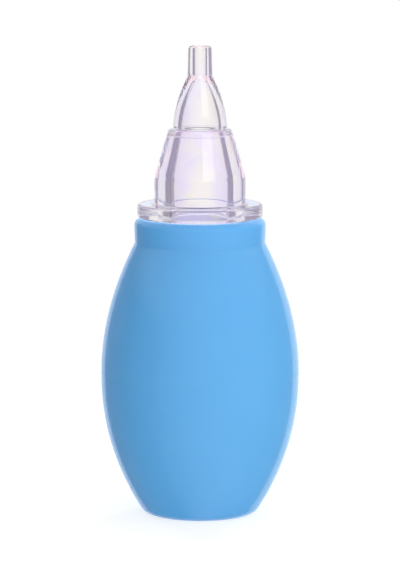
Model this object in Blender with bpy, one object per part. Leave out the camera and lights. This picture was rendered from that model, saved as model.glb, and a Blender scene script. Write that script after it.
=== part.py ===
"""Nasal aspirator: a soft squeeze bulb, a clear nozzle base that plugs into its neck, and a clear nose tip.

Sizes are in metres and +Z is up. The origin is the centre of the bulb's foot, on the table.
All three pieces are turned about +Z, so each is drawn as a half outline of (radius, height) points.
"""

import math

import bmesh
import bpy

FACETS = 48  # flats round each turned piece
ROUNDING_STEP = math.radians(24)  # turn between two points of a rounded corner
FLANK_STEPS = 7  # straight pieces along each long curved flank

# Squeeze bulb: heights are above the table
BULB_RADIUS = 0.0262
EQUATOR_HEIGHT = 0.0376
UPPER_POWER = 1.94  # how late the upper flank leans in: 1 is a straight cone
LOWER_POWER = 2.11
BULB_WALL = 0.0024
FLOOR_THICKNESS = 0.0032
FLOOR_RADIUS = 0.0141  # inside corner of floor and flank, before its rounding
FLOOR_ROUNDING = 0.003
FOOT_RADIUS = 0.0149
FOOT_ROUNDING = 0.0038
FOOT_RECESS_RADIUS = 0.0100
FOOT_RECESS_DEPTH = 0.0008
PARTING_WIDTH = 0.0010
PARTING_PROUD = 0.00015

# Neck of the bulb
NECK_ROOT_HEIGHT = 0.0723
NECK_LENGTH = 0.0065
NECK_RADIUS = 0.0172
NECK_FLARE = 0.00025  # the rim is this much wider than the root
NECK_WALL = 0.0037
NECK_ROOT_ROUNDING = 0.0015
RIM_ROUNDING = 0.0018
MOUTH_CHAMFER = 0.0004

# Fits
SEAT_GAP = 0.0003
SLIDING_CLEARANCE = 0.0003

# Nozzle base: heights are above the underside of its flange
FLANGE_INSET = 0.0009  # the flange stops this far inside the rim's widest ring
FLANGE_THICKNESS = 0.0036
FLANGE_ROUNDING = 0.0007
BARREL_RADIUS = 0.01205
BARREL_LENGTH = 0.0069
BARREL_WALL = 0.00455
BARREL_ROOT_ROUNDING = 0.0004
CONE_LENGTH = 0.0129
CONE_TOP_RADIUS = 0.00834
SHOULDER_ROUNDING = 0.0010

# Plug under the flange
PLUG_LENGTH = 0.0075
PLUG_WALL = 0.0018
PLUG_LEAD = 0.0008
BARB_COUNT = 3
BARB_PROUD = 0.0006
BARB_LAND = 0.0003
BARB_SLOPE_LENGTH = 0.0012

# Nose tip: heights are above the face that sits on the nozzle base
OGIVE_BASE_RADIUS = 0.00707
OGIVE_LENGTH = 0.01385
OGIVE_POWER = 1.78
OGIVE_WALL = 0.00205
TUBE_ROOT_RADIUS = 0.00325
TUBE_ROOT_ROUNDING = 0.0010
TUBE_END_RADIUS = 0.00305
TUBE_LENGTH = 0.0077
TUBE_END_ROUNDING = 0.0009
TUBE_BORE_RADIUS = 0.00152
TUBE_BORE_ROUNDING = 0.0003
TUBE_BORE_REACH = 0.0020  # the straight bore runs this far below the root of the tube
SPIGOT_LENGTH = 0.0022
SPIGOT_WALL = 0.0007  # at its foot

# Sizes that two pieces share
NECK_TOP_HEIGHT = NECK_ROOT_HEIGHT + NECK_LENGTH
RIM_RADIUS = NECK_RADIUS + NECK_FLARE
NECK_BORE_RADIUS = NECK_RADIUS - NECK_WALL
FLANGE_RADIUS = RIM_RADIUS - FLANGE_INSET
BARREL_BORE_RADIUS = BARREL_RADIUS - BARREL_WALL
OGIVE_BORE_RADIUS = OGIVE_BASE_RADIUS - OGIVE_WALL
BORE_LEAN = (BARREL_BORE_RADIUS - OGIVE_BORE_RADIUS) / CONE_LENGTH  # one taper through cone and spigot
SPIGOT_BORE_RADIUS = OGIVE_BORE_RADIUS + BORE_LEAN * SPIGOT_LENGTH
SPIGOT_RADIUS = SPIGOT_BORE_RADIUS + SPIGOT_WALL
SOCKET_RADIUS = SPIGOT_RADIUS + SLIDING_CLEARANCE
SHOULDER_HEIGHT = FLANGE_THICKNESS + BARREL_LENGTH + CONE_LENGTH


def rounded(corners):
    """Outline through (radius, height, rounding) corners, with an arc in place of each one that has a rounding."""
    points = []
    for index, (r, z, rounding) in enumerate(corners):
        if rounding == 0:
            points.append((r, z))
            continue
        before, after = corners[index - 1], corners[(index + 1) % len(corners)]
        into = math.atan2(z - before[1], r - before[0])
        out = math.atan2(after[1] - z, after[0] - r)
        turn = (out - into + math.pi) % math.tau - math.pi
        setback = rounding * math.tan(abs(turn) / 2)
        side = math.copysign(math.pi / 2, turn)
        centre_r = r - setback * math.cos(into) + rounding * math.cos(into + side)
        centre_z = z - setback * math.sin(into) + rounding * math.sin(into + side)
        steps = max(2, round(abs(turn) / ROUNDING_STEP))
        for step in range(steps + 1):
            angle = into - side + turn * step / steps
            points.append((centre_r + rounding * math.cos(angle), centre_z + rounding * math.sin(angle)))
    return points


def sharp(points):
    """The points as corners without rounding."""
    return [(r, z, 0) for r, z in points]


def flank(start, end, power):
    """Points of a flank that leaves start upright and leans over more and more up to end, both included."""
    points = []
    for step in range(FLANK_STEPS + 1):
        share = step / FLANK_STEPS
        lean = share**power
        points.append((start[0] + (end[0] - start[0]) * lean, start[1] + (end[1] - start[1]) * share))
    return points


def bulb_outline():
    """Half outline of the bulb, from its inner floor up the inside, over the rim and down to the foot."""
    middle = (BULB_RADIUS - BULB_WALL, EQUATOR_HEIGHT)
    inside = flank(middle, (FLOOR_RADIUS, FLOOR_THICKNESS), LOWER_POWER)[::-1]
    inside += flank(middle, (NECK_BORE_RADIUS, NECK_ROOT_HEIGHT), UPPER_POWER)[1:]
    bead_top, bead_foot = EQUATOR_HEIGHT + PARTING_WIDTH / 2, EQUATOR_HEIGHT - PARTING_WIDTH / 2
    upper = flank((BULB_RADIUS, bead_top), (NECK_RADIUS, NECK_ROOT_HEIGHT), UPPER_POWER)[::-1]
    lower = flank((BULB_RADIUS, bead_foot), (FOOT_RADIUS, 0), LOWER_POWER)
    bead = (BULB_RADIUS + PARTING_PROUD, EQUATOR_HEIGHT)
    corners = [
        (0, FLOOR_THICKNESS, 0),
        (*inside[0], FLOOR_ROUNDING),
        *sharp(inside[1:]),
        (NECK_BORE_RADIUS, NECK_TOP_HEIGHT - MOUTH_CHAMFER, 0),
        (NECK_BORE_RADIUS + MOUTH_CHAMFER, NECK_TOP_HEIGHT, 0),
        (RIM_RADIUS, NECK_TOP_HEIGHT, RIM_ROUNDING),
        (*upper[0], NECK_ROOT_ROUNDING),
        *sharp([*upper[1:], bead, *lower[:-1]]),
        (*lower[-1], FOOT_ROUNDING),
        (FOOT_RECESS_RADIUS, 0, 0),
        (FOOT_RECESS_RADIUS - FOOT_RECESS_DEPTH, FOOT_RECESS_DEPTH, 0),
        (0, FOOT_RECESS_DEPTH, 0),
    ]
    return rounded(corners)


def plug_outline():
    """Outer side of the plug, from the flange down over its barbs to the lead-in at its foot."""
    barb_radius = NECK_BORE_RADIUS - SLIDING_CLEARANCE
    core_radius = barb_radius - BARB_PROUD
    pitch = (PLUG_LENGTH - PLUG_LEAD) / BARB_COUNT
    corners = [(core_radius, 0, 0)]
    for barb in range(BARB_COUNT):
        foot = -pitch * (barb + 1)
        land = foot + BARB_SLOPE_LENGTH
        corners += [(core_radius, land + BARB_LAND, 0), (barb_radius, land + BARB_LAND, 0)]
        corners += [(barb_radius, land, 0), (core_radius, foot, 0)]
    corners.append((core_radius - PLUG_LEAD / 2, -PLUG_LENGTH, 0))
    return corners


def nozzle_base_outline():
    """Closed half outline of the nozzle base, down its outside from the socket and back up its bore."""
    cone_foot = FLANGE_THICKNESS + BARREL_LENGTH
    socket_floor = SHOULDER_HEIGHT - SPIGOT_LENGTH
    skirt_bore = NECK_BORE_RADIUS - SLIDING_CLEARANCE - BARB_PROUD - PLUG_WALL
    corners = [
        (SOCKET_RADIUS, SHOULDER_HEIGHT, 0),
        (CONE_TOP_RADIUS, SHOULDER_HEIGHT, SHOULDER_ROUNDING),
        (BARREL_RADIUS, cone_foot, 0),
        (BARREL_RADIUS, FLANGE_THICKNESS, BARREL_ROOT_ROUNDING),
        (FLANGE_RADIUS, FLANGE_THICKNESS, FLANGE_ROUNDING),
        (FLANGE_RADIUS, 0, FLANGE_ROUNDING),
        *plug_outline(),
        (skirt_bore, -PLUG_LENGTH, 0),
        (skirt_bore, 0, 0),
        (BARREL_BORE_RADIUS, 0, 0),
        (BARREL_BORE_RADIUS, cone_foot, 0),
        (SPIGOT_BORE_RADIUS, socket_floor, 0),
        (SOCKET_RADIUS, socket_floor, 0),
    ]
    return rounded(corners)


def nose_tip_outline():
    """Closed half outline of the nose tip, down its outside from the mouth and back up its bore."""
    mouth = OGIVE_LENGTH + TUBE_LENGTH
    bore_foot = OGIVE_LENGTH - TUBE_BORE_REACH
    outside = flank((OGIVE_BASE_RADIUS, 0), (TUBE_ROOT_RADIUS, OGIVE_LENGTH), OGIVE_POWER)
    inside = flank((OGIVE_BORE_RADIUS, 0), (TUBE_BORE_RADIUS, bore_foot), OGIVE_POWER)
    corners = [
        (TUBE_BORE_RADIUS, mouth, TUBE_BORE_ROUNDING),
        (TUBE_END_RADIUS, mouth, TUBE_END_ROUNDING),
        (*outside[-1], TUBE_ROOT_ROUNDING),
        *sharp(outside[-2::-1]),
        (SPIGOT_RADIUS, 0, 0),
        (SPIGOT_RADIUS, -SPIGOT_LENGTH, 0),
        (SPIGOT_BORE_RADIUS, -SPIGOT_LENGTH, 0),
        *sharp(inside),
    ]
    return rounded(corners)


def material(name, color, roughness, transmission=0.0, ior=1.5):
    """A plain Principled material, in linear colour."""
    made = bpy.data.materials.new(name)
    made.use_nodes = True
    shader = made.node_tree.nodes["Principled BSDF"]
    shader.inputs["Base Color"].default_value = (*color, 1)
    shader.inputs["Roughness"].default_value = roughness
    shader.inputs["Metallic"].default_value = 0
    shader.inputs["Transmission Weight"].default_value = transmission
    shader.inputs["IOR"].default_value = ior
    made.diffuse_color = (*color, 1)
    return made


def turned(name, outline, finish, closed):
    """Spins a half outline about +Z into one solid with smooth flanks and sharp corners."""
    form = bmesh.new()
    points = [form.verts.new((r, 0, z)) for r, z in outline]
    edges = [form.edges.new(pair) for pair in zip(points, points[1:])]
    if closed:
        edges.append(form.edges.new((points[-1], points[0])))
    bmesh.ops.spin(
        form, geom=points + edges, axis=(0, 0, 1), cent=(0, 0, 0), angle=math.tau, steps=FACETS
    )
    bmesh.ops.remove_doubles(form, verts=form.verts, dist=1e-6)
    bmesh.ops.recalc_face_normals(form, faces=form.faces)
    mesh = bpy.data.meshes.new(name)
    form.to_mesh(mesh)
    form.free()
    mesh.shade_smooth()
    mesh.set_sharp_from_angle(angle=math.radians(35))
    mesh.materials.append(finish)
    piece = bpy.data.objects.new(name, mesh)
    bpy.context.scene.collection.objects.link(piece)
    return piece


def main():
    """Builds the three pieces as they sit when the aspirator is ready to use."""
    for old in list(bpy.data.objects):
        bpy.data.objects.remove(old, do_unlink=True)
    soft_blue = material("soft_blue_silicone", (0.138, 0.451, 0.839), roughness=0.45)
    clear_rigid = material("clear_plastic", (0.93, 0.92, 0.97), roughness=0.05, transmission=1, ior=1.49)
    clear_soft = material("clear_silicone", (0.94, 0.92, 0.97), roughness=0.08, transmission=1, ior=1.43)
    turned("squeeze_bulb", bulb_outline(), soft_blue, closed=False)
    nozzle_base = turned("nozzle_base", nozzle_base_outline(), clear_rigid, closed=True)
    nozzle_base.location.z = NECK_TOP_HEIGHT + SEAT_GAP
    nose_tip = turned("nose_tip", nose_tip_outline(), clear_soft, closed=True)
    nose_tip.parent = nozzle_base
    nose_tip.location.z = SHOULDER_HEIGHT + SEAT_GAP


main()
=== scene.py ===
"""Dresses the nasal aspirator: a satin blue squeeze bulb, a clear nozzle base and a clear nose tip.

Sizes are in metres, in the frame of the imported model: +Z up, origin at the centre of the bulb's foot.
"""

from __future__ import annotations

import logging
import math
from dataclasses import dataclass, field
from enum import Enum
from itertools import pairwise
from typing import Any

import bpy
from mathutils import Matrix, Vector

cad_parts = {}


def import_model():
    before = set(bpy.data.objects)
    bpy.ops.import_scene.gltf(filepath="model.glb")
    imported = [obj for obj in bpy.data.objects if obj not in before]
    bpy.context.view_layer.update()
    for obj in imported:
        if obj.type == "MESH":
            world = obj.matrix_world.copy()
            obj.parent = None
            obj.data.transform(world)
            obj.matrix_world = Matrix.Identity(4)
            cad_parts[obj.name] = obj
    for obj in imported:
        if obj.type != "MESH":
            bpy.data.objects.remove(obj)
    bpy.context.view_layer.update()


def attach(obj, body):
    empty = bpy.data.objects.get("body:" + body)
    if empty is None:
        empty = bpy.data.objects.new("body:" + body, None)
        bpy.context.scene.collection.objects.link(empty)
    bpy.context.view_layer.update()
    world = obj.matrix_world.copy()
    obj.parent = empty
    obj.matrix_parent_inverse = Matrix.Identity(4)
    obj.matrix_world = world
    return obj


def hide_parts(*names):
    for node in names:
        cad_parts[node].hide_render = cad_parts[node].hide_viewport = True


MM = 0.001
MERGE_DISTANCE = 0.0005 * MM
SMOOTH_ANGLE = math.radians(30)
ROUNDING_STEP = math.radians(9)
FINE_STEP = math.radians(5)  # for clear pieces, whose walls bend light and so show each flat
WHITE = "FFFFFF"
LOG = logging.getLogger("aspirator")

Point = tuple[float, float]
Corner = tuple[float, float, float]
Color = tuple[float, float, float, float]
Place = tuple[float, float, float]
Stops = tuple[tuple[float, str], ...]


class Body(Enum):
    """The rigid bodies that the pieces ride on."""

    BULB = "bulb"
    NOZZLE = "nozzle"
    TIP = "tip"


class Slot(Enum):
    """The record's material slots."""

    SOFT_BLUE = "soft_blue"
    CLEAR_RIGID = "clear_rigid"
    CLEAR_SOFT = "clear_soft"


def linear(hex_color: str) -> Color:
    """Turns an sRGB hex value into linear colour.

    Args:
        hex_color: Six hex digits, with or without a leading #.

    Returns:
        Linear red, green, blue and an alpha of 1.
    """
    digits = hex_color.lstrip("#")
    levels = [int(digits[at : at + 2], 16) / 255 for at in (0, 2, 4)]
    red, green, blue = (c / 12.92 if c <= 0.04045 else ((c + 0.055) / 1.055) ** 2.4 for c in levels)
    return red, green, blue, 1.0


def add_node(
    tree: bpy.types.NodeTree,
    kind: str,
    settings: dict[str | int, Any] | None = None,
    links: dict[str | int, bpy.types.NodeSocket] | None = None,
) -> bpy.types.Node:
    """Adds a node with its settings and the links that come into it.

    Args:
        tree: Node tree that gets the node.
        kind: Blender's name for the type of node.
        settings: Values for the node's inputs by socket name or number, or else for its properties.
        links: Outputs of other nodes, by the name or number of the input that each one feeds.

    Returns:
        The new node.
    """
    node = tree.nodes.new(kind)
    for name, value in (settings or {}).items():
        if isinstance(name, int) or name in node.inputs:
            node.inputs[name].default_value = value
        else:
            setattr(node, name, value)
    for name, output in (links or {}).items():
        tree.links.new(output, node.inputs[name])
    return node


def rounded(corners: list[Corner], step: float = ROUNDING_STEP) -> list[Point]:
    """Rounds the corners of an outline.

    Args:
        corners: Radius, height and rounding of each corner, in order. A closed outline wraps round.
        step: Largest turn between two points of a rounding.

    Returns:
        Radius and height of each point of the rounded outline.
    """
    points: list[Point] = []
    for index, (r, z, rounding) in enumerate(corners):
        if rounding == 0:
            points.append((r, z))
            continue
        before, after = corners[index - 1], corners[(index + 1) % len(corners)]
        into = math.atan2(z - before[1], r - before[0])
        out = math.atan2(after[1] - z, after[0] - r)
        turn = (out - into + math.pi) % math.tau - math.pi
        setback = rounding * math.tan(abs(turn) / 2)
        side = math.copysign(math.pi / 2, turn)
        centre_r = r - setback * math.cos(into) + rounding * math.cos(into + side)
        centre_z = z - setback * math.sin(into) + rounding * math.sin(into + side)
        steps = max(2, math.ceil(abs(turn) / step))
        for count in range(steps + 1):
            angle = into - side + turn * count / steps
            points.append((centre_r + rounding * math.cos(angle), centre_z + rounding * math.sin(angle)))
    return points


def flank(start: Point, end: Point, power: float, steps: int) -> list[Point]:
    """Draws a flank that leaves its start upright and leans over more and more.

    Args:
        start: First point, where the flank is upright.
        end: Last point.
        power: How late the flank leans over; 1 is a straight line.
        steps: Number of straight pieces.

    Returns:
        The flank's points, both ends included.
    """
    shares = [step / steps for step in range(steps + 1)]
    run, rise = end[0] - start[0], end[1] - start[1]
    return [(start[0] + run * share**power, start[1] + rise * share) for share in shares]


def sharp(points: list[Point]) -> list[Corner]:
    """Gives points as corners without rounding."""
    return [(r, z, 0.0) for r, z in points]


def turn_solid(name: str, outline: list[Point], closed: bool, segments: int) -> bpy.types.Object:
    """Traces a half outline point by point and turns it about +Z.

    Args:
        name: Name of the new piece.
        outline: Radius and height of each point, in order.
        closed: Whether the last point joins the first, as on a piece with a bore right through.
        segments: Number of flats round the piece.

    Returns:
        The turned piece, smooth, closed and facing outwards, with its place in its mesh.
    """
    bpy.ops.object.select_all(action="DESELECT")
    start = outline[0]
    bpy.ops.mesh.primitive_plane_add(size=MM, location=(0, 0, 0))
    piece = bpy.context.object
    piece.name = piece.data.name = name
    bpy.ops.object.mode_set(mode="EDIT")
    bpy.ops.mesh.merge(type="CENTER")
    bpy.ops.transform.translate(value=(start[0], 0, start[1]))
    way = outline + [start] if closed else outline
    for here, there in pairwise(way):
        shift = (there[0] - here[0], 0, there[1] - here[1])
        bpy.ops.mesh.extrude_region_move(TRANSFORM_OT_translate={"value": shift})
    bpy.ops.mesh.select_all(action="SELECT")
    bpy.ops.mesh.remove_doubles(threshold=MERGE_DISTANCE)
    bpy.ops.object.mode_set(mode="OBJECT")
    turn = piece.modifiers.new("turn", "SCREW")
    turn.steps = turn.render_steps = segments
    turn.use_merge_vertices = True
    turn.merge_threshold = MERGE_DISTANCE
    bpy.ops.object.modifier_apply(modifier=turn.name)
    bpy.ops.object.mode_set(mode="EDIT")
    bpy.ops.mesh.select_all(action="SELECT")
    bpy.ops.mesh.remove_doubles(threshold=MERGE_DISTANCE)
    bpy.ops.mesh.normals_make_consistent(inside=False)
    bpy.ops.object.mode_set(mode="OBJECT")
    bpy.ops.object.shade_smooth_by_angle(angle=SMOOTH_ANGLE)
    return piece


@dataclass(frozen=True)
class SatinSilicone:
    """Pigmented silicone rubber from a satin mould: soft flat colour, with gloss only at the rims."""

    color: str = "67B5EC"
    shade: str = "63B1E8"
    roughness: float = 0.045
    roughness_spread: float = 0.02
    ior: float = 1.41
    sheen: float = 1.0
    sheen_roughness: float = 0.2
    sheen_tint: str = "7CCBFF"
    glow: float = 0.6
    glow_reach: tuple[float, float, float] = (0.5, 0.8, 1.0)
    depth_mm: float = 3.0
    cloud_mm: float = 14.0
    grain_mm: float = 0.35
    grain_depth_mm: float = 0.05
    grain_strength: float = 0.04

    def material(self) -> bpy.types.Material:
        """Makes the material with faint clouds in its colour and a fine moulded grain.

        Returns:
            The material.
        """
        made = bpy.data.materials.new("satin_silicone_rubber")
        made.use_nodes = True
        tree = made.node_tree
        shader = tree.nodes["Principled BSDF"]
        shader.inputs["IOR"].default_value = self.ior
        shader.inputs["Sheen Weight"].default_value = self.sheen
        shader.inputs["Sheen Roughness"].default_value = self.sheen_roughness
        shader.inputs["Sheen Tint"].default_value = linear(self.sheen_tint)
        shader.inputs["Subsurface Weight"].default_value = self.glow
        shader.inputs["Subsurface Scale"].default_value = self.depth_mm * MM
        shader.inputs["Subsurface Radius"].default_value = self.glow_reach
        place = add_node(tree, "ShaderNodeTexCoord").outputs["Object"]
        clouds = add_node(
            tree,
            "ShaderNodeTexNoise",
            {"Scale": 1 / (self.cloud_mm * MM), "Detail": 3.0},
            {"Vector": place},
        )
        tint = add_node(
            tree,
            "ShaderNodeMix",
            {"data_type": "RGBA", 6: linear(self.shade), 7: linear(self.color)},
            {0: clouds.outputs["Fac"]},
        )
        gloss = add_node(
            tree,
            "ShaderNodeMapRange",
            {
                "To Min": self.roughness - self.roughness_spread,
                "To Max": self.roughness + self.roughness_spread,
            },
            {"Value": clouds.outputs["Fac"]},
        )
        grain = add_node(
            tree,
            "ShaderNodeTexNoise",
            {"Scale": 1 / (self.grain_mm * MM), "Detail": 2.0},
            {"Vector": place},
        )
        bump = add_node(
            tree,
            "ShaderNodeBump",
            {"Strength": self.grain_strength, "Distance": self.grain_depth_mm * MM},
            {"Height": grain.outputs["Fac"]},
        )
        tree.links.new(tint.outputs[2], shader.inputs["Base Color"])
        tree.links.new(gloss.outputs["Result"], shader.inputs["Roughness"])
        tree.links.new(bump.outputs["Normal"], shader.inputs["Normal"])
        return made


@dataclass(frozen=True)
class ClearMoulding:
    """Clear moulded plastic: dark lines where its bore turns the light aside, pale walls between."""

    name: str
    ior: float
    cool: str = "F7F3FF"
    warm: str = "FCFAF2"
    roughness: float = 0.01
    clarity: float = 0.98
    frost_height: float = 0.0
    frost_roughness: float = 0.6
    frost_clarity: float = 0.4
    frost_fade: float = 0.1 * MM
    tint_mm: float = 9.0
    cool_until: float = 0.45
    warm_from: float = 0.6
    flow_mm: float = 6.0
    flow_depth_mm: float = 0.1
    flow_strength: float = 0.05

    def material(self) -> bpy.types.Material:
        """Makes the material: lavender and cream casts, faint flow waves, and frost below a height.

        Returns:
            The material.
        """
        made = bpy.data.materials.new(self.name)
        made.use_nodes = True
        tree = made.node_tree
        shader = tree.nodes["Principled BSDF"]
        shader.inputs["IOR"].default_value = self.ior
        place = add_node(tree, "ShaderNodeTexCoord").outputs["Object"]
        casts = add_node(
            tree,
            "ShaderNodeTexNoise",
            {"Scale": 1 / (self.tint_mm * MM), "Detail": 1.0},
            {"Vector": place},
        )
        tint = add_node(tree, "ShaderNodeValToRGB", None, {"Fac": casts.outputs["Fac"]})
        first, last = tint.color_ramp.elements
        first.position, first.color = self.cool_until, linear(self.cool)
        last.position, last.color = self.warm_from, linear(self.warm)
        waves = add_node(
            tree,
            "ShaderNodeTexNoise",
            {"Scale": 1 / (self.flow_mm * MM), "Detail": 1.0},
            {"Vector": place},
        )
        bump = add_node(
            tree,
            "ShaderNodeBump",
            {"Strength": self.flow_strength, "Distance": self.flow_depth_mm * MM},
            {"Height": waves.outputs["Fac"]},
        )
        parts = add_node(tree, "ShaderNodeSeparateXYZ", None, {0: place})
        for socket, frosted, clear in (
            ("Roughness", self.frost_roughness, self.roughness),
            ("Transmission Weight", self.frost_clarity, self.clarity),
        ):
            level = add_node(
                tree,
                "ShaderNodeMapRange",
                {
                    "From Min": self.frost_height - self.frost_fade,
                    "From Max": self.frost_height,
                    "To Min": frosted,
                    "To Max": clear,
                },
                {"Value": parts.outputs["Z"]},
            )
            tree.links.new(level.outputs["Result"], shader.inputs[socket])
        tree.links.new(tint.outputs["Color"], shader.inputs["Base Color"])
        tree.links.new(bump.outputs["Normal"], shader.inputs["Normal"])
        return made


@dataclass
class SqueezeBulb:
    """The soft bulb: flat foot, barrel flanks with a parting line, and a neck with a rounded rim."""

    radius: float = 26.2 * MM
    equator: float = 37.6 * MM
    upper_power: float = 1.94
    lower_power: float = 2.11
    wall: float = 2.4 * MM
    floor: float = 3.2 * MM
    floor_radius: float = 14.1 * MM
    floor_rounding: float = 3.0 * MM
    foot_radius: float = 14.9 * MM
    foot_rounding: float = 3.8 * MM
    recess_radius: float = 10.0 * MM
    recess_depth: float = 0.8 * MM
    recess_rounding: float = 0.2 * MM
    parting_width: float = 0.6 * MM
    parting_proud: float = 0.06 * MM
    neck_root: float = 72.3 * MM
    neck_top: float = 78.8 * MM
    neck_radius: float = 17.2 * MM
    rim_radius: float = 17.45 * MM
    neck_wall: float = 3.7 * MM
    root_rounding: float = 1.5 * MM
    rim_rounding: float = 1.8 * MM
    mouth_chamfer: float = 0.4 * MM
    flank_steps: int = 40
    segments: int = 192
    finish: SatinSilicone = field(default_factory=SatinSilicone)

    def outline(self) -> list[Point]:
        """Draws the half outline from the inner floor up, over the rim and down to the foot.

        Returns:
            Radius and height of each point.
        """
        bore = self.neck_radius - self.neck_wall
        middle = (self.radius - self.wall, self.equator)
        inside = flank(middle, (self.floor_radius, self.floor), self.lower_power, self.flank_steps)[::-1]
        inside += flank(middle, (bore, self.neck_root), self.upper_power, self.flank_steps)[1:]
        half = self.parting_width / 2
        neck = (self.neck_radius, self.neck_root)
        upper = flank((self.radius, self.equator + half), neck, self.upper_power, self.flank_steps)[::-1]
        foot = (self.foot_radius, 0)
        lower = flank((self.radius, self.equator - half), foot, self.lower_power, self.flank_steps)
        bead = (self.radius + self.parting_proud, self.equator)
        corners = [
            (0, self.floor, 0),
            (*inside[0], self.floor_rounding),
            *sharp([point for point in inside[1:] if point[1] > self.floor + self.floor_rounding]),
            (bore, self.neck_top - self.mouth_chamfer, 0),
            (bore + self.mouth_chamfer, self.neck_top, 0),
            (self.rim_radius, self.neck_top, self.rim_rounding),
            (*neck, self.root_rounding),
            *sharp([point for point in upper if point[1] < self.neck_root - self.root_rounding]),
            (*bead, 0),
            *sharp([point for point in lower if point[1] > self.foot_rounding]),
            (*foot, self.foot_rounding),
            (self.recess_radius, 0, self.recess_rounding),
            (self.recess_radius - self.recess_depth, self.recess_depth, self.recess_rounding),
            (0, self.recess_depth, 0),
        ]
        return rounded(corners)

    def build(self) -> bpy.types.Object:
        """Builds and dresses the bulb in place of its plain solid.

        Returns:
            The bulb.
        """
        piece = turn_solid("soft_bulb", self.outline(), closed=False, segments=self.segments)
        piece.data.materials.append(self.finish.material())
        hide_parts("squeeze_bulb")
        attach(piece, Body.BULB.value)
        return piece


@dataclass
class NozzleBase:
    """The clear base: barbed plug, flange on the neck's rim, barrel and cone round a tapering bore."""

    seat: float = 79.1 * MM
    flange_radius: float = 16.55 * MM
    flange_thickness: float = 3.6 * MM
    flange_rounding: float = 0.7 * MM
    barrel_radius: float = 12.05 * MM
    barrel_length: float = 6.9 * MM
    barrel_bore: float = 7.5 * MM
    barrel_root_rounding: float = 0.4 * MM
    barrel_top_rounding: float = 2.0 * MM
    bore_top_rounding: float = 3.0 * MM
    cone_length: float = 12.9 * MM
    cone_top_radius: float = 8.34 * MM
    shoulder_rounding: float = 1.0 * MM
    socket_radius: float = 6.44 * MM
    socket_depth: float = 2.2 * MM
    socket_bore: float = 5.44 * MM
    plug_length: float = 7.5 * MM
    plug_lead: float = 0.8 * MM
    plug_wall: float = 1.8 * MM
    plug_floor_rounding: float = 0.3 * MM
    barb_count: int = 3
    barb_radius: float = 13.2 * MM
    barb_proud: float = 0.6 * MM
    barb_land: float = 0.3 * MM
    barb_slope: float = 1.2 * MM
    edge_rounding: float = 0.1 * MM
    lip_rounding: float = 0.2 * MM
    segments: int = 320
    finish: ClearMoulding = field(
        default_factory=lambda: ClearMoulding("clear_san_plastic", 1.49, frost_height=79.05 * MM)
    )

    def plug(self) -> list[Corner]:
        """Draws the outer side of the plug, from the flange down over its barbs.

        Returns:
            Radius, height above the flange's underside and rounding of each corner.
        """
        core = self.barb_radius - self.barb_proud
        pitch = (self.plug_length - self.plug_lead) / self.barb_count
        corners: list[Corner] = [(core, 0, self.edge_rounding)]
        for barb in range(self.barb_count):
            foot = -pitch * (barb + 1)
            slope_top = foot + self.barb_slope
            land_top = slope_top + self.barb_land
            corners += [
                (core, land_top, 0),
                (self.barb_radius, land_top, self.edge_rounding),
                (self.barb_radius, slope_top, self.edge_rounding),
                (core, foot, 0),
            ]
        return corners + [(core - self.plug_lead / 2, -self.plug_length, self.lip_rounding)]

    def outline(self) -> list[Point]:
        """Draws the closed half outline, down the outside from the socket and back up the bore.

        Returns:
            Radius and height of each point.
        """
        cone_foot = self.flange_thickness + self.barrel_length
        top = cone_foot + self.cone_length
        hollow = self.barb_radius - self.barb_proud - self.plug_wall
        corners = [
            (self.socket_radius, top, self.edge_rounding),
            (self.cone_top_radius, top, self.shoulder_rounding),
            (self.barrel_radius, cone_foot, self.barrel_top_rounding),
            (self.barrel_radius, self.flange_thickness, self.barrel_root_rounding),
            (self.flange_radius, self.flange_thickness, self.flange_rounding),
            (self.flange_radius, 0, self.flange_rounding),
            *self.plug(),
            (hollow, -self.plug_length, self.lip_rounding),
            (hollow, 0, self.plug_floor_rounding),
            (self.barrel_bore, 0, self.lip_rounding),
            (self.barrel_bore, cone_foot, self.bore_top_rounding),
            (self.socket_bore, top - self.socket_depth, self.edge_rounding),
            (self.socket_radius, top - self.socket_depth, 0),
        ]
        return [(r, z + self.seat) for r, z in rounded(corners, FINE_STEP)]

    def build(self) -> bpy.types.Object:
        """Builds and dresses the nozzle base in place of its plain solid.

        Returns:
            The nozzle base.
        """
        piece = turn_solid("clear_nozzle_base", self.outline(), closed=True, segments=self.segments)
        piece.data.materials.append(self.finish.material())
        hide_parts("nozzle_base")
        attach(piece, Body.NOZZLE.value)
        return piece


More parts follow.
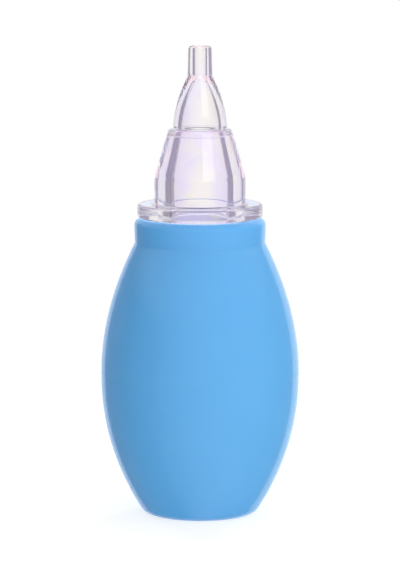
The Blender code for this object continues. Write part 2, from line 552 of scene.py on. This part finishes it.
@dataclass
class NoseTip:
    """The clear tip: spigot, bullet-shaped flank and a narrow tube with a rounded mouth.

    The soft spigot is 0.02 mm larger than its socket, because it grips there and no air gap shows.
    """

    seat: float = 102.8 * MM
    base_radius: float = 7.07 * MM
    length: float = 13.85 * MM
    power: float = 1.78
    bore: float = 5.02 * MM
    tube_root_radius: float = 3.25 * MM
    tube_end_radius: float = 3.05 * MM
    tube_length: float = 7.7 * MM
    tube_bore: float = 1.52 * MM
    bore_reach: float = 2.0 * MM
    mouth_rounding: float = 0.9 * MM
    bore_mouth_rounding: float = 0.3 * MM
    root_rounding: float = 0.8 * MM
    foot_rounding: float = 0.1 * MM
    spigot_length: float = 2.52 * MM
    spigot_radius: float = 6.46 * MM
    spigot_bore: float = 5.44 * MM
    flank_steps: int = 60
    segments: int = 384
    finish: ClearMoulding = field(
        default_factory=lambda: ClearMoulding(
            "clear_soft_silicone", 1.45, cool="F9F7FC", warm="FAF9F4", frost_height=100.45 * MM
        )
    )

    def outline(self) -> list[Point]:
        """Draws the closed half outline, down the outside from the mouth and back up the bore.

        Returns:
            Radius and height of each point.
        """
        mouth = self.length + self.tube_length
        root = (self.tube_root_radius, self.length)
        bore_top = (self.tube_bore, self.length - self.bore_reach)
        outside = flank((self.base_radius, 0), root, self.power, self.flank_steps)
        inside = flank((self.bore, 0), bore_top, self.power, self.flank_steps)
        corners = [
            (self.tube_bore, mouth, self.bore_mouth_rounding),
            (self.tube_end_radius, mouth, self.mouth_rounding),
            (*root, self.root_rounding),
            *sharp(outside[-2:0:-1]),
            (self.base_radius, 0, self.foot_rounding),
            (self.spigot_radius, 0, 0),
            (self.spigot_radius, -self.spigot_length, 0),
            (self.spigot_bore, -self.spigot_length, 0),
            *sharp(inside[:-1]),
            (*bore_top, self.root_rounding),
        ]
        return [(r, z + self.seat) for r, z in rounded(corners, FINE_STEP)]

    def build(self) -> bpy.types.Object:
        """Builds and dresses the nose tip in place of its plain solid.

        Returns:
            The nose tip.
        """
        piece = turn_solid("clear_nose_tip", self.outline(), closed=True, segments=self.segments)
        piece.data.materials.append(self.finish.material())
        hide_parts("nose_tip")
        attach(piece, Body.TIP.value)
        return piece


@dataclass(frozen=True)
class Lamp:
    """An area lamp: where it hangs, its width and height, its power in watts and the height it aims at."""

    name: str
    place: Place
    size: Point
    power: float
    aim_height: float = 50 * MM

    def hang(self) -> bpy.types.Object:
        """Hangs the lamp, which shines but isn't itself seen through the clear pieces.

        Returns:
            The lamp's object.
        """
        light = bpy.data.lights.new(self.name, "AREA")
        light.shape = "RECTANGLE"
        light.size, light.size_y = self.size
        light.energy = self.power
        holder = bpy.data.objects.new(self.name, light)
        holder.location = self.place
        holder.rotation_mode = "QUATERNION"
        aim = Vector((0, 0, self.aim_height)) - Vector(self.place)
        holder.rotation_quaternion = aim.to_track_quat("-Z", "Y")
        holder.visible_transmission = False
        bpy.context.scene.collection.objects.link(holder)
        return holder


@dataclass
class Studio:
    """A lit white table, a light tent with dark corner gaps, soft lamps and the camera."""

    floor_radius: float = 0.25
    floor_sides: int = 96
    floor_color: str = "A8A8A8"
    floor_glow: float = 0.72
    floor_light: float = 0.55
    floor_dim_x: Point = (-0.06, 0.03)
    rosy: str = "F4C4D4"
    rosy_x: Point = (0.02, 0.05)
    overhead: str = "F6F2FF"
    overhead_span: Point = (0.63, 0.7)
    bounces: int = 40
    camera_target: float = 60.98 * MM
    camera_distance: float = 0.9529
    camera_pitch: float = math.radians(7.8)
    camera_lens: float = 227.37
    camera_sensor: float = 36.0
    camera_reach: float = 20.0
    soft_lamps: tuple[Lamp, ...] = (
        Lamp("key_lamp", (0.1, -1.1, 0.4), (0.5, 0.5), 3.25),
        Lamp("left_rim_lamp", (-0.5, 0.87, 0.25), (0.3, 0.3), 4.0),
        Lamp("right_rim_lamp", (0.5, 0.87, 0.25), (0.3, 0.3), 4.0),
    )
    strip_lamp: Lamp = Lamp("strip_lamp", (0.46, -1.0, 0.75), (0.7, 0.8), 3.8, 100 * MM)
    panels: Stops = (
        (-176, WHITE),
        (-110, "746F7C"),
        (-75, "746F7C"),
        (-68, "A098AE"),
        (-34, "A098AE"),
        (-32, "F6F2FF"),
        (-8, "FAF8FF"),
        (6, WHITE),
        (20, "FDFBF8"),
        (41, "FDFBF8"),
        (43, "A098AE"),
        (68, "A098AE"),
        (130, WHITE),
    )
    soft_light: Stops = (
        (-148, "F2F2F2"),
        (-134, "707070"),
        (-56, "707070"),
        (-44, "F2F2F2"),
    )

    def floor(self) -> None:
        """Lays the lit white table, which keeps the object's shadow."""
        bpy.ops.object.select_all(action="DESELECT")
        bpy.ops.mesh.primitive_circle_add(
            vertices=self.floor_sides, radius=self.floor_radius, fill_type="NGON"
        )
        sheet = bpy.context.object
        sheet.name = "studio_floor"
        # Lit acrylic: white to the eye, dimmer where it lights the bulb's shaded side, rosy at its sides
        # where only the clear pieces pick it up
        made = bpy.data.materials.new("lit_white_acrylic")
        made.use_nodes = True
        tree = made.node_tree
        tree.nodes.remove(tree.nodes["Principled BSDF"])
        matt = add_node(tree, "ShaderNodeBsdfDiffuse", {"Color": linear(self.floor_color)})
        path = add_node(tree, "ShaderNodeLightPath")
        place = add_node(tree, "ShaderNodeTexCoord").outputs["Object"]
        parts = add_node(tree, "ShaderNodeSeparateXYZ", None, {0: place})
        fade = add_node(
            tree,
            "ShaderNodeMapRange",
            {
                "From Min": self.floor_dim_x[0],
                "From Max": self.floor_dim_x[1],
                "To Min": self.floor_light / 2,
                "To Max": self.floor_light,
            },
            {"Value": parts.outputs["X"]},
        )
        seen = add_node(
            tree,
            "ShaderNodeMath",
            None,
            {0: path.outputs["Is Camera Ray"], 1: path.outputs["Is Transmission Ray"]},
        )
        level = add_node(
            tree,
            "ShaderNodeMix",
            {3: self.floor_glow},
            {0: seen.outputs[0], 2: fade.outputs["Result"]},
        )
        aside = add_node(
            tree, "ShaderNodeMath", {"operation": "ABSOLUTE"}, {0: parts.outputs["X"]}
        )
        blush = add_node(
            tree,
            "ShaderNodeMapRange",
            {"From Min": self.rosy_x[0], "From Max": self.rosy_x[1]},
            {"Value": aside.outputs[0]},
        )
        share = add_node(
            tree,
            "ShaderNodeMath",
            {"operation": "MULTIPLY"},
            {0: path.outputs["Is Transmission Ray"], 1: blush.outputs["Result"]},
        )
        hue = add_node(
            tree,
            "ShaderNodeMix",
            {"data_type": "RGBA", 6: linear(WHITE), 7: linear(self.rosy)},
            {0: share.outputs[0]},
        )
        glow = add_node(
            tree,
            "ShaderNodeEmission",
            None,
            {"Color": hue.outputs[2], "Strength": level.outputs[0]},
        )
        both = add_node(
            tree, "ShaderNodeAddShader", None, {0: matt.outputs["BSDF"], 1: glow.outputs["Emission"]}
        )
        tree.links.new(both.outputs["Shader"], tree.nodes["Material Output"].inputs["Surface"])
        sheet.data.materials.append(made)
        # Off the gloss, so that the bulb's lower flank mirrors the tent and not the table
        sheet.visible_glossy = False

    @staticmethod
    def ring(
        tree: bpy.types.NodeTree, share: bpy.types.NodeSocket, stops: Stops
    ) -> bpy.types.NodeSocket:
        """Paints upright panels round the horizon.

        Args:
            tree: Node tree of the world.
            share: Angle round the horizon as a share of a full turn, 0.5 behind the object.
            stops: Angle in degrees and colour of each stop, from left to right.

        Returns:
            The panels' colour.
        """
        ramp = add_node(tree, "ShaderNodeValToRGB", None, {"Fac": share})
        elements = ramp.color_ramp.elements
        while len(elements) < len(stops):
            elements.new(0.5)
        for element, (degrees, color) in zip(elements, stops):
            element.position = degrees / 360 + 0.5
            element.color = linear(color)
        return ramp.outputs["Color"]

    def surroundings(self) -> None:
        """Sets the world: white to the camera, panels to gloss and clear plastic, soft light to the rest."""
        world = bpy.data.worlds.new("light_tent")
        bpy.context.scene.world = world
        world.use_nodes = True
        tree = world.node_tree
        path = add_node(tree, "ShaderNodeLightPath")
        way = add_node(tree, "ShaderNodeTexCoord").outputs["Generated"]
        parts = add_node(tree, "ShaderNodeSeparateXYZ", None, {0: way})
        angle = add_node(
            tree,
            "ShaderNodeMath",
            {"operation": "ARCTAN2"},
            {0: parts.outputs["X"], 1: parts.outputs["Y"]},
        )
        share = add_node(
            tree,
            "ShaderNodeMapRange",
            {"From Min": -math.pi, "From Max": math.pi},
            {"Value": angle.outputs[0]},
        ).outputs["Result"]
        height = add_node(
            tree, "ShaderNodeMapRange", {"From Min": -1.0}, {"Value": parts.outputs["Z"]}
        )
        cover = add_node(tree, "ShaderNodeValToRGB", None, {"Fac": height.outputs["Result"]})
        for element, position, alpha in zip(cover.color_ramp.elements, self.overhead_span, (0.0, 1.0)):
            element.position = position
            element.color = (*linear(self.overhead)[:3], alpha)
        tent = add_node(
            tree,
            "ShaderNodeMix",
            {"data_type": "RGBA"},
            {
                0: cover.outputs["Alpha"],
                6: self.ring(tree, share, self.panels),
                7: cover.outputs["Color"],
            },
        )
        lit = add_node(
            tree,
            "ShaderNodeMix",
            {"data_type": "RGBA"},
            {
                0: path.outputs["Is Diffuse Ray"],
                6: tent.outputs[2],
                7: self.ring(tree, share, self.soft_light),
            },
        )
        shown = add_node(
            tree,
            "ShaderNodeMix",
            {"data_type": "RGBA", 7: linear(WHITE)},
            {0: path.outputs["Is Camera Ray"], 6: lit.outputs[2]},
        )
        tree.links.new(shown.outputs[2], tree.nodes["Background"].inputs["Color"])

    def lamps(self, clear_pieces: bpy.types.Collection) -> None:
        """Hangs the key lamp in front, the two rim lamps behind and the strip lamp of the clear pieces.

        Args:
            clear_pieces: Collection of the clear pieces, the only ones that the strip lamp shows on.
        """
        for lamp in self.soft_lamps:
            lamp.hang().visible_glossy = False
        strip = self.strip_lamp.hang()
        strip.visible_diffuse = False
        strip.light_linking.receiver_collection = clear_pieces

    def camera(self) -> None:
        """Sets the long lens at the photograph's angle."""
        lens = bpy.data.cameras.new("long_lens")
        lens.lens = self.camera_lens
        lens.sensor_width = self.camera_sensor
        lens.clip_end = self.camera_reach
        holder = bpy.data.objects.new("long_lens", lens)
        back = Vector((0, -math.cos(self.camera_pitch), math.sin(self.camera_pitch)))
        holder.location = Vector((0, 0, self.camera_target)) + back * self.camera_distance
        holder.rotation_euler = (math.pi / 2 - self.camera_pitch, 0, 0)
        bpy.context.scene.collection.objects.link(holder)
        bpy.context.scene.camera = holder

    def build(self, clear_pieces: bpy.types.Collection) -> None:
        """Sets up the whole studio.

        Args:
            clear_pieces: Collection of the clear pieces.
        """
        self.floor()
        self.surroundings()
        self.lamps(clear_pieces)
        self.camera()
        scene = bpy.context.scene
        scene.view_settings.view_transform = "Standard"
        # Clear walls hand a ray on many times before it leaves
        scene.cycles.max_bounces = self.bounces
        scene.cycles.glossy_bounces = self.bounces
        scene.cycles.transmission_bounces = self.bounces


def main() -> None:
    """Builds the pieces in order, sets the studio and logs each piece's face count."""
    logging.basicConfig(level=logging.INFO, format="%(name)s: %(message)s")
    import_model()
    clear_pieces = bpy.data.collections.new("clear_pieces")
    for maker in (SqueezeBulb(), NozzleBase(), NoseTip()):
        piece = maker.build()
        if isinstance(maker.finish, ClearMoulding):
            clear_pieces.objects.link(piece)
            # Clear plastic lets the lamps' light through
            piece.visible_shadow = False
        LOG.info("%s has %d faces", piece.name, len(piece.data.polygons))
    Studio().build(clear_pieces)


if __name__ == "__main__":
    main()
